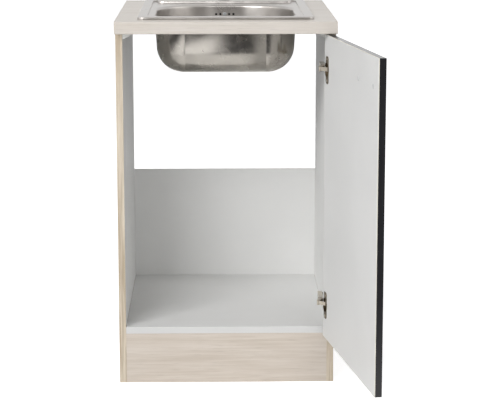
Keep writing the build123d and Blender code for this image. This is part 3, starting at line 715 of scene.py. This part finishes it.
def off_rounded(x, y, half, corner, mid_y):
    """How far a point lies outside a rectangle with rounded corners, less than 0 inside."""
    corner = both_corners(corner)[0 if y < mid_y else 1]
    qx = abs(x) - (half[0] - corner)
    qy = abs(y - mid_y) - (half[1] - corner)
    return math.hypot(max(qx, 0.0), max(qy, 0.0)) + min(max(qx, qy), 0.0) - corner


def step_profile(drop, top_radius, foot_radius, slope=78.0):
    """Offsets and depths down a pressed step: a rounded top, a steep wall and a rounded foot."""
    angle = math.radians(slope)
    points = []
    for i in range(ROUND_STEPS + 1):
        turn = angle * i / ROUND_STEPS
        points.append((top_radius * math.sin(turn), top_radius * (1 - math.cos(turn))))
    wall_drop = drop - (top_radius + foot_radius) * (1 - math.cos(angle))
    run = wall_drop / math.tan(angle)
    across, down = points[-1][0] + run, points[-1][1] + wall_drop
    for i in range(ROUND_STEPS + 1):
        turn = angle * (1 - i / ROUND_STEPS)
        side = foot_radius * (math.sin(angle) - math.sin(turn))
        points.append((across + side, down + foot_radius * (math.cos(turn) - math.cos(angle))))
    return points


def height_on(profile, across):
    """The depth on a profile at an offset, held at both ends."""
    offsets = [p[0] for p in profile]
    return float(np.interp(across, offsets, [p[1] for p in profile]))


class SINKUNIT_OT_sink(bpy.types.Operator):
    """Pressed steel sink: rim, stepped field, tap bank, bowl and its holes"""

    bl_idname = "sink_unit.sink"
    bl_label = "Sink"

    def execute(self, context):
        bm = bmesh.new()
        self.rim(bm)
        self.deck(bm)
        self.bowl(bm)
        bmesh.ops.remove_doubles(bm, verts=bm.verts, dist=2e-6)
        bmesh.ops.recalc_face_normals(bm, faces=bm.faces)
        if sum(f.normal.z * f.calc_area() for f in bm.faces) < 0:
            bmesh.ops.reverse_faces(bm, faces=bm.faces)
        piece = new_piece("pressed_sink", bm)
        wall = piece.modifiers.new("sheet", "SOLIDIFY")
        wall.thickness = SHEET
        wall.offset = -1.0
        wall.use_even_offset = True
        wall.material_offset = 1
        wear(piece, "satin_steel", "drawn_steel")
        baked(piece)
        self.cut_overflow(piece)
        stand_for(piece, "sink", 50.0)
        return {"FINISHED"}

    @staticmethod
    def loft(bm, rings):
        """Quads between rings of equal length, each a list of (x, y, z)."""
        rows = [[bm.verts.new(p) for p in ring] for ring in rings]
        for upper, lower in zip(rows, rows[1:]):
            for i in range(len(upper)):
                j = (i + 1) % len(upper)
                bm.faces.new((upper[i], upper[j], lower[j], lower[i]))

    def rim(self, bm):
        """The skirt and the rounded outer edge of the rim."""
        levels = [(0.0, SKIRT_BOTTOM), (0.0, RIM_TOP - RIM_EDGE)]
        for i in range(1, RIM_STEPS + 1):
            turn = math.radians(90 * i / RIM_STEPS)
            rise = RIM_EDGE * math.sin(turn)
            levels.append((RIM_EDGE * (math.cos(turn) - 1), RIM_TOP - RIM_EDGE + rise))
        self.loft(bm, stacked(levels, SINK_HALF, SINK_CORNER, SINK_MID_Y))

    def deck_height(self, x, y):
        """The height of the rim, the field and the tap bank at a place."""
        inside = -off_rounded(x, y, FIELD_HALF, FIELD_CORNER, SINK_MID_Y)
        field = RIM_TOP - height_on(self.step, inside + FIELD_STEP_START)
        outside = off_rounded(x, y, BANK_HALF, BANK_CORNER, BANK_MID_Y)
        bank = BANK_TOP - height_on(self.bank, outside + BANK_STEP_START)
        return max(field, bank)

    def deck(self, bm):
        """The rim's top, the step, the field and the bank, one sheet round the bowl."""
        self.step = step_profile(RIM_TOP - FIELD_TOP, *FIELD_STEP)
        self.bank = step_profile(BANK_TOP - FIELD_TOP, *BANK_STEP)
        loops = [rounded_loop(SINK_HALF, SINK_CORNER, SINK_MID_Y, -RIM_EDGE)]
        for across, _ in self.step:
            grow = FIELD_STEP_START - across
            loops.append(rounded_loop(FIELD_HALF, FIELD_CORNER, SINK_MID_Y, grow, corner_steps=16))
        for across, _ in self.bank:
            grow = across - BANK_STEP_START
            loops.append(rounded_loop(BANK_HALF, BANK_CORNER, BANK_MID_Y, grow, corner_steps=12))
        loops.append(rounded_loop(BOWL_HALF, BOWL_CORNERS, BOWL_MID_Y, BOWL_LIP_REACH))
        tap_x, tap_y, tap_radius = TAP_HOLE
        ring = [math.radians(360 * i / TAP_HOLE_STEPS) for i in range(TAP_HOLE_STEPS)]
        loops.append(
            [(tap_x + tap_radius * math.cos(a), tap_y + tap_radius * math.sin(a)) for a in ring]
        )
        # The triangulation works in millimetres, to keep its precision.
        points, edges = [], []
        for loop in loops:
            start = len(points)
            points.extend(Vector((x * 1000, y * 1000)) for x, y in loop)
            edges.extend((start + i, start + (i + 1) % len(loop)) for i in range(len(loop)))
        found = geometry.delaunay_2d_cdt(points, edges, [], 0, 1e-5)
        flat = [(p.x / 1000, p.y / 1000) for p in found[0]]
        verts = [bm.verts.new((x, y, self.deck_height(x, y))) for x, y in flat]
        for face in found[2]:
            x = sum(flat[i][0] for i in face) / len(face)
            y = sum(flat[i][1] for i in face) / len(face)
            in_rim = off_rounded(x, y, SINK_HALF, SINK_CORNER, SINK_MID_Y) < -RIM_EDGE
            in_bowl = off_rounded(x, y, BOWL_HALF, BOWL_CORNERS, BOWL_MID_Y) < BOWL_LIP_REACH
            in_tap = math.hypot(x - tap_x, y - tap_y) < tap_radius * 0.998
            if in_rim and not in_bowl and not in_tap:
                bm.faces.new([verts[i] for i in face])

    @staticmethod
    def bowl_levels():
        """Offset from the bowl's outline and height, down the lip, wall and floor rounding."""
        levels = []
        fall = math.pi / 2 - BOWL_DRAFT
        for i in range(LIP_STEPS + 1):
            turn = fall * i / LIP_STEPS
            across = BOWL_LIP_REACH - BOWL_LIP_RADIUS * math.sin(turn)
            levels.append((across, FIELD_TOP - BOWL_LIP_RADIUS * (1 - math.cos(turn))))
        wall_top = levels[-1]
        depth = FIELD_TOP - BOWL_FLOOR
        corner = -depth * math.tan(BOWL_DRAFT)
        back = BOWL_FLOOR_RADIUS * math.tan(fall / 2)
        wall_end = (corner + back * math.sin(BOWL_DRAFT), BOWL_FLOOR + back * math.cos(BOWL_DRAFT))
        for i in range(1, WALL_STEPS):
            share = i / WALL_STEPS
            levels.append(tuple(a + (b - a) * share for a, b in zip(wall_top, wall_end)))
        middle = (corner - back, BOWL_FLOOR + BOWL_FLOOR_RADIUS)
        for i in range(FLOOR_STEPS + 1):
            turn = BOWL_DRAFT + fall * i / FLOOR_STEPS
            across = middle[0] + BOWL_FLOOR_RADIUS * math.cos(turn)
            levels.append((across, middle[1] - BOWL_FLOOR_RADIUS * math.sin(turn)))
        return levels

    def bowl(self, bm):
        """The bowl from its lip to its floor, and the recess round the drain."""
        rings = stacked(self.bowl_levels(), BOWL_HALF, BOWL_CORNERS, BOWL_MID_Y)
        seat = step_profile(RECESS_DEPTH, *RECESS_STEP, RECESS_SLOPE)
        turns = [math.atan2(y - BOWL_MID_Y, x) for x, y, _ in rings[-1]]
        seat_start = RECESS_RADIUS + seat[-1][0] / 2

        def ring(radius, z):
            return [(radius * math.cos(t), BOWL_MID_Y + radius * math.sin(t), z) for t in turns]

        floor_edge, seat_edge = np.array(rings[-1]), np.array(ring(seat_start, BOWL_FLOOR))
        for share in (0.25, 0.5, 0.75):
            rings.append((floor_edge + (seat_edge - floor_edge) * share).tolist())
        for across, down in seat:
            rings.append(ring(seat_start - across, BOWL_FLOOR - down))
        rings.append(ring(DRAIN_RADIUS, BOWL_FLOOR - RECESS_DEPTH))
        self.loft(bm, rings)

    @staticmethod
    def cut_overflow(piece):
        """The overflow holes through the bowl's rear wall."""
        cutters = bmesh.new()
        wall_y = BOWL_MID_Y + BOWL_HALF[1] - (FIELD_TOP - OVERFLOW_Z) * math.tan(BOWL_DRAFT)
        for x in (*OVERFLOW_XS, 0.0):
            radius = OVERFLOW_RADIUS if x else OVERFLOW_SCREW_RADIUS
            turned = Matrix.Rotation(math.pi / 2 - BOWL_DRAFT, 4, "X")
            place = Matrix.Translation((x, wall_y, OVERFLOW_Z)) @ turned
            tube = {"radius1": radius, "radius2": radius, "depth": 20 * MM, "segments": 24}
            bmesh.ops.create_cone(cutters, cap_ends=True, matrix=place, **tube)
        cutter = new_piece("overflow_cutter", cutters)
        cut = piece.modifiers.new("overflow", "BOOLEAN")
        cut.operation = "DIFFERENCE"
        cut.object = cutter
        cut.solver = "EXACT"
        baked(piece)
        bpy.data.objects.remove(cutter)


class SINKUNIT_OT_hinges(bpy.types.Operator):
    """Cups, arms, plates and links of the two concealed hinges"""

    bl_idname = "sink_unit.hinges"
    bl_label = "Hinges"

    def execute(self, context):
        for part in ("cup", "arm", "plate", "link"):
            # Cups and plates take the darker nickel copy, which is painted shade.
            finish = "dark_nickel" if part in ("cup", "plate") else "plated_nickel"
            for level in ("lower", "upper"):
                name = "hinge_%s_%s" % (part, level)
                width = sizes().metal_arris
                board(name, (finish,), width=width, shortest=4 * MM, angle=70.0)
        return {"FINISHED"}


def fastener_tree():
    """A node tree that sets a screw or a nail on every point, its head along the facing."""
    tree = bpy.data.node_groups.new("fastener", "GeometryNodeTree")
    ports = tree.interface
    ports.new_socket(name="Geometry", in_out="INPUT", socket_type="NodeSocketGeometry")
    for name in ("Shank Radius", "Length", "Head Radius", "Head Height", "Recess Depth"):
        socket = ports.new_socket(name=name, in_out="INPUT", socket_type="NodeSocketFloat")
        socket.subtype = "DISTANCE"
        socket.default_value = 2 * MM
    ports.new_socket(name="Material", in_out="INPUT", socket_type="NodeSocketMaterial")
    ports.new_socket(name="Geometry", in_out="OUTPUT", socket_type="NodeSocketGeometry")
    g = Tree(tree)
    given = g.node("NodeGroupInput").outputs

    def times(value, factor):
        return g.math("MULTIPLY", value, factor)

    def lifted(mesh, height, turn=0.0):
        place = g.node("ShaderNodeCombineXYZ", {"Z": height}).outputs[0]
        values = {"Geometry": mesh, "Translation": place, "Rotation": (0, 0, turn)}
        return g.node("GeometryNodeTransform", values).outputs[0]

    def cone(top, bottom, height):
        values = {"Vertices": 28, "Radius Top": top, "Radius Bottom": bottom, "Depth": height}
        return g.node("GeometryNodeMeshCone", values).outputs["Mesh"]

    head_height, head_radius = given["Head Height"], given["Head Radius"]
    shank_radius, length = given["Shank Radius"], given["Length"]
    under = times(head_height, -1)
    crown = times(head_height, 0.4)
    skirt = times(head_height, 0.6)
    top_radius, waist_radius = times(head_radius, 0.72), times(head_radius, 0.97)
    dome = lifted(cone(top_radius, waist_radius, crown), times(crown, -1))
    base = lifted(cone(waist_radius, head_radius, skirt), under)
    size = {
        "X": times(head_radius, 1.05),
        "Y": times(head_radius, 0.2),
        "Z": times(given["Recess Depth"], 2),
    }
    wing = g.node("GeometryNodeMeshCube", {0: g.node("ShaderNodeCombineXYZ", size).outputs[0]})
    cross = [wing.outputs["Mesh"], lifted(wing.outputs["Mesh"], 0.0, math.pi / 2)]
    tip = times(shank_radius, 1.6)
    body = g.math("SUBTRACT", length, tip)
    shank = lifted(cone(shank_radius, shank_radius, body), g.math("SUBTRACT", under, body))
    end = cone(shank_radius, times(shank_radius, 0.15), tip)
    point = lifted(end, g.math("SUBTRACT", under, length))
    whole = g.node("GeometryNodeMeshBoolean", operation="UNION", solver="EXACT")
    for part in (dome, base, shank, point):
        tree.links.new(part, whole.inputs["Mesh 2"])
    cut = g.node("GeometryNodeMeshBoolean", operation="DIFFERENCE", solver="EXACT")
    tree.links.new(whole.outputs["Mesh"], cut.inputs["Mesh 1"])
    for part in cross:
        tree.links.new(part, cut.inputs["Mesh 2"])
    values = {"Name": "facing"}
    facing = g.node("GeometryNodeInputNamedAttribute", values, data_type="FLOAT_VECTOR")
    values = {"Vector": facing.outputs["Attribute"]}
    turn = g.node("FunctionNodeAlignRotationToVector", values, axis="Z").outputs[0]
    values = {"Points": given["Geometry"], "Instance": cut.outputs["Mesh"], "Rotation": turn}
    spread = g.node("GeometryNodeInstanceOnPoints", values)
    real = g.node("GeometryNodeRealizeInstances", {0: spread.outputs[0]})
    values = {"Geometry": real.outputs[0], "Material": given["Material"]}
    dressed = g.node("GeometryNodeSetMaterial", values)
    g.node("NodeGroupOutput", {0: dressed.outputs[0]})
    return tree


def islands(name):
    """The separate solids of a node, each as an array of its points."""
    bm = merged(name)
    left = set(bm.verts)
    found = []
    while left:
        front = [left.pop()]
        group = []
        while front:
            vert = front.pop()
            group.append(tuple(vert.co))
            for edge in vert.link_edges:
                other = edge.other_vert(vert)
                if other in left:
                    left.remove(other)
                    front.append(other)
        found.append(np.array(group))
    bm.free()
    return sorted(found, key=lambda points: tuple(np.round(points.mean(0), 4)))


def measured(points, axis):
    """A fastener's head end, the way its head faces, and its shank and head sizes."""
    axis = np.array(axis, float) / np.linalg.norm(axis)
    height = points @ axis
    ends = [points[way * height < (way * height).min() + 0.05 * MM] for way in (1, -1)]
    spans = [np.linalg.norm(np.ptp(end, axis=0)) for end in ends]
    if spans[0] > spans[1]:
        axis = -axis
        ends.reverse()
    tip = ends[0].mean(0)
    height = (points - tip) @ axis
    off = np.linalg.norm((points - tip) - np.outer(height, axis), axis=1)
    whole, head_radius = height.max(), off.max()
    shank_radius = off[height < whole / 2].max()
    in_head = height[off > (head_radius + shank_radius) / 2]
    head_height = max(whole - in_head.min(), 0.4 * MM)
    return tip + axis * whole, axis, shank_radius, head_radius, head_height, whole


# Each node of fasteners: its axis, how deep its recess is as a share of the head, and its finish.
FASTENERS = {
    "block_side_screws": ((1, 0, 0), 0.6, "plated_zinc"),
    "block_top_screws": ((0, 0, 1), 0.6, "plated_zinc"),
    "sink_clamp_screws": ((0, 0, 1), 0.6, "plated_zinc"),
    "back_nails": ((0, 1, 0), 0.0, "plated_zinc"),
    "hinge_cup_screws": (OUT_OF_DOOR, 0.8, "plated_nickel"),
    "hinge_plate_screws": ((1, 0, 0), 0.8, "plated_nickel"),
    "hinge_arm_screws": ((1, 0, 0), 0.7, "plated_nickel"),
    "overflow_screw": ((0, 1, -math.tan(BOWL_DRAFT)), 0.7, "plated_zinc"),
}


class SINKUNIT_OT_fasteners(bpy.types.Operator):
    """Screws and nails, each set where the frame has it"""

    bl_idname = "sink_unit.fasteners"
    bl_label = "Screws and nails"

    def execute(self, context):
        tree = fastener_tree()
        for name, (axis, recess, finish) in FASTENERS.items():
            solids = [measured(points, axis) for points in islands(name)]
            mesh = bpy.data.meshes.new(name + "_set")
            mesh.from_pydata([solid[0] for solid in solids], [], [])
            facing = mesh.attributes.new("facing", "FLOAT_VECTOR", "POINT")
            facing.data.foreach_set("vector", np.array([s[1] for s in solids]).ravel())
            piece = in_scene(name + "_set", mesh)
            shank, head, height, whole = (float(v) for v in solids[0][2:])
            given = {
                "Shank Radius": shank,
                "Length": whole - height,
                "Head Radius": head,
                "Head Height": height,
                "Recess Depth": max(height * recess * 0.5, 0.01 * MM),
                "Material": MATERIALS[finish],
            }
            modifier = piece.modifiers.new("fasteners", "NODES")
            modifier.node_group = tree
            for port in tree.interface.items_tree:
                if port.in_out == "INPUT" and port.name in given:
                    modifier[port.identifier] = given[port.name]
            stand_for(baked(piece), name, 30.0)
        return {"FINISHED"}


# Each small solid that keeps its shape: its finish and the width of its broken edges.
SMALL_PARTS = {
    **{
        "corner_block_%s_%s" % (end, side): ("white_plastic", 0.4 * MM)
        for end in ("front", "rear")
        for side in ("left", "right")
    },
    "handle_hole_caps": ("cap_plastic", 0),
    "sink_gasket": ("black_foam", 0.3 * MM),
    "sink_clamps": ("plated_zinc", 0.2 * MM),
    "overflow_housing": ("black_plastic", 0.3 * MM),
    "overflow_nut": ("plated_zinc", 0),
    "cam_locks": ("die_cast", 0),
    "cam_bolts": ("plated_zinc", 0),
    "dowels": ("beech", 0),
    "hinge_pins": ("plated_nickel", 0),
}


class SINKUNIT_OT_small_parts(bpy.types.Operator):
    """Corner blocks, caps, clamps, gasket, overflow housing, cams, dowels and pins"""

    bl_idname = "sink_unit.small_parts"
    bl_label = "Small parts"

    def execute(self, context):
        for name, (finish, width) in SMALL_PARTS.items():
            board(name, (finish,), width=width, shortest=4 * MM, angle=70.0)
        return {"FINISHED"}


# ------------------------------------------------------------------ stage
FLOOR_REACH = 14.0
FLOOR_DROP = 0.4 * MM
FLOOR_COLOURS = ((0.90, 0.90, 0.90, 1), (0.93, 0.93, 0.93, 1))
# How white the floor looks to the camera, near the unit and far off, and at which distances.
FLOOR_GLOW = (0.76, 1.0)
GLOW_REACH = (0.9, 2.4)
# The floor as metal mirrors it: where the white sweep begins in front of the unit, its colour and
# glow, which falls off to both sides, and the light patch at the left on the dark floor before it.
SWEEP_EDGE = (-1.5, -1.0)
SWEEP_COLOUR = (0.92, 0.92, 0.92, 1)
MIRRORED_GLOW = (0.7, 0.14)
MIRRORED_SIDES = (0.2, 0.9)
PATCH_RIGHT = (-0.1, -0.45)
PATCH_LEFT = (-2.4, -1.7)
FLOOR_DARK = (0.05, 0.05, 0.055, 1)
FLOOR_LIGHT = (0.75, 0.76, 0.78, 1)
# The surroundings light the unit from the front and the back. The room is what metal mirrors of
# them in front of the unit, dark below and light above, with a bright screen at either side.
AMBIENT_FRONT = (0.10, 0.10, 0.104, 1)
AMBIENT_BACK = (0.065, 0.065, 0.065, 1)
BEHIND = (-0.3, 0.2)
ROOM_LOW = (0.12, 0.11, 0.10, 1)
ROOM_HIGH = (0.72, 0.71, 0.70, 1)
ROOM_RISE = (0.0, 0.5)
SIDE_SCREEN = (1.9, 1.87, 1.84, 1)
SCREEN_EDGE = (0.6, 0.8)
WHITE = (1, 1, 1, 1)
# Each soft box: its name, place, target, width and height, power, and whether metal mirrors it.
LAMPS = (
    ("key_box", (-2.3, -3.8, 2.85), (0.0, 0.2, 0.45), (3.2, 2.0), 203, True),
    ("fill_box", (0.9, -4.7, 1.3), (0.0, 0.2, 0.35), (1.2, 1.2), 24, False),
    ("top_box", (0.0, 0.6, 3.0), (0.0, 0.2, 0.85), (2.0, 2.0), 22, False),
)
# The camera's place and lens, found from the cabinet's edges and the worktop's corners.
FRAME_WIDTH_PX = 500
CAMERA_FOCAL_PX = 1783.3
CAMERA_PLACE = (-0.0249, -4.029, 1.217)
CAMERA_PITCH = math.radians(10.985)
CAMERA_YAW = math.radians(1.133)


def area_lamp(name, place, target, size, power, mirrored):
    """A soft box at a place, turned towards a target."""
    lamp = bpy.data.lights.new(name, "AREA")
    lamp.shape = "RECTANGLE"
    lamp.size, lamp.size_y = size
    lamp.energy = power
    holder = in_scene(name, lamp)
    holder.location = place
    holder.rotation_euler = (Vector(target) - Vector(place)).to_track_quat("-Z", "Y").to_euler()
    holder.visible_glossy = mirrored


class SINKUNIT_OT_stage(bpy.types.Operator):
    """Floor, lamps, surroundings and the camera"""

    bl_idname = "sink_unit.stage"
    bl_label = "Stage"

    def execute(self, context):
        scene = context.scene
        scene.view_settings.view_transform = "Standard"
        self.floor()
        self.world(scene)
        self.camera(scene)
        for lamp in LAMPS:
            area_lamp(*lamp)
        return {"FINISHED"}

    def ray_kind(self, s, *kinds):
        """1 for rays of any of those kinds, as in Camera or Glossy."""
        path = s.node("ShaderNodeLightPath")
        total = path.outputs["Is %s Ray" % kinds[0]]
        for kind in kinds[1:]:
            total = s.math("MAXIMUM", total, path.outputs["Is %s Ray" % kind])
        return total

    def floor(self):
        """A white sweep under and behind the unit, and the studio's darker floor before it."""
        mesh = bpy.data.meshes.new("studio_floor")
        signs = ((-1, -1), (1, -1), (1, 1), (-1, 1))
        corners = [(x * FLOOR_REACH, y * FLOOR_REACH, -FLOOR_DROP) for x, y in signs]
        mesh.from_pydata(corners, [], [(0, 1, 2, 3)])
        floor = in_scene("studio_floor", mesh)
        s = Shader("studio_floor", 0.9)
        grain = s.noise(s.stretched(), 60.0, 3.0)
        sweep = s.ramp(s.axis("Y"), *SWEEP_EDGE)
        across = s.axis("X")
        patch = s.math("MULTIPLY", s.ramp(across, *PATCH_RIGHT), s.ramp(across, *PATCH_LEFT))
        near = s.ramp(s.math("ABSOLUTE", across), *MIRRORED_SIDES, *MIRRORED_GLOW)
        before = s.mix(sweep, s.mix(patch, FLOOR_DARK, FLOOR_LIGHT), SWEEP_COLOUR)
        pale = s.mix(grain, *FLOOR_COLOURS)
        mirrored = self.ray_kind(s, "Glossy", "Transmission")
        s.put(Base_Color=s.mix(mirrored, pale, before), Specular_IOR_Level=0.1)
        off = s.node("ShaderNodeVectorMath", {0: s.coords}, operation="LENGTH").outputs["Value"]
        glow = s.ramp(off, *GLOW_REACH, *FLOOR_GLOW)
        patch = s.math("MULTIPLY", patch, s.math("SUBTRACT", 1.0, sweep))
        bright = s.math("MAXIMUM", s.math("MULTIPLY", sweep, near), patch)
        seen = s.math("MULTIPLY", mirrored, bright)
        seen = s.math("MAXIMUM", seen, self.ray_kind(s, "Camera"))
        s.put(Emission_Color=WHITE, Emission_Strength=s.math("MULTIPLY", seen, glow))
        floor.data.materials.append(s.material)

    def world(self, scene):
        """White behind the unit, and a darker room with soft tones in front of it."""
        world = bpy.data.worlds.new("studio")
        scene.world = world
        world.use_nodes = True
        s = Tree(world.node_tree, "Generated")
        behind = s.ramp(s.axis("Y"), *BEHIND)
        room = s.mix(s.ramp(s.axis("Z"), *ROOM_RISE), ROOM_LOW, ROOM_HIGH)
        beside = s.ramp(s.math("ABSOLUTE", s.axis("X")), *SCREEN_EDGE)
        room = s.mix(behind, s.mix(beside, room, SIDE_SCREEN), WHITE)
        ambient = s.mix(behind, AMBIENT_FRONT, AMBIENT_BACK)

        def background(colour):
            return s.node("ShaderNodeBackground", {0: colour}).outputs[0]

        def either(share, first, second):
            return s.node("ShaderNodeMixShader", {0: share, 1: first, 2: second}).outputs[0]

        mirrored = self.ray_kind(s, "Glossy", "Transmission")
        unseen = either(mirrored, background(ambient), background(room))
        whole = either(self.ray_kind(s, "Camera"), unseen, background(WHITE))
        s.node("ShaderNodeOutputWorld", {"Surface": whole})

    def camera(self, scene):
        eye = bpy.data.cameras.new("camera")
        holder = in_scene("camera", eye)
        eye.sensor_width = 36.0
        eye.lens = CAMERA_FOCAL_PX / FRAME_WIDTH_PX * eye.sensor_width
        eye.clip_end = 60.0
        holder.location = CAMERA_PLACE
        holder.rotation_euler = (math.radians(90) - CAMERA_PITCH, 0.0, -CAMERA_YAW)
        scene.camera = holder


class SINKUNIT_PT_panel(bpy.types.Panel):
    """The unit's steps in the 3D view's sidebar"""

    bl_idname = "SINKUNIT_PT_panel"
    bl_label = "Sink Unit"
    bl_space_type = "VIEW_3D"
    bl_region_type = "UI"
    bl_category = "Sink Unit"

    def draw(self, context):
        for name in ("board_arris", "metal_arris"):
            self.layout.prop(context.scene.sink_unit_sizes, name)
        for name in SinkUnitColours.__annotations__:
            self.layout.prop(context.scene.sink_unit_colours, name)
        for step in STEPS:
            self.layout.operator(step.bl_idname)


STEPS = (
    SINKUNIT_OT_finishes,
    SINKUNIT_OT_boards,
    SINKUNIT_OT_worktop,
    SINKUNIT_OT_door,
    SINKUNIT_OT_sink,
    SINKUNIT_OT_hinges,
    SINKUNIT_OT_small_parts,
    SINKUNIT_OT_fasteners,
    SINKUNIT_OT_stage,
)
CLASSES = (SinkUnitSizes, SinkUnitColours, *STEPS, SINKUNIT_PT_panel)


def register():
    for cls in CLASSES:
        bpy.utils.register_class(cls)
    bpy.types.Scene.sink_unit_sizes = bpy.props.PointerProperty(type=SinkUnitSizes)
    bpy.types.Scene.sink_unit_colours = bpy.props.PointerProperty(type=SinkUnitColours)


def unregister():
    del bpy.types.Scene.sink_unit_colours
    del bpy.types.Scene.sink_unit_sizes
    for cls in reversed(CLASSES):
        bpy.utils.unregister_class(cls)


def main():
    register()
    for step in STEPS:
        group, name = step.bl_idname.split(".")
        getattr(getattr(bpy.ops, group), name)()


if __name__ == "__main__":
    main()
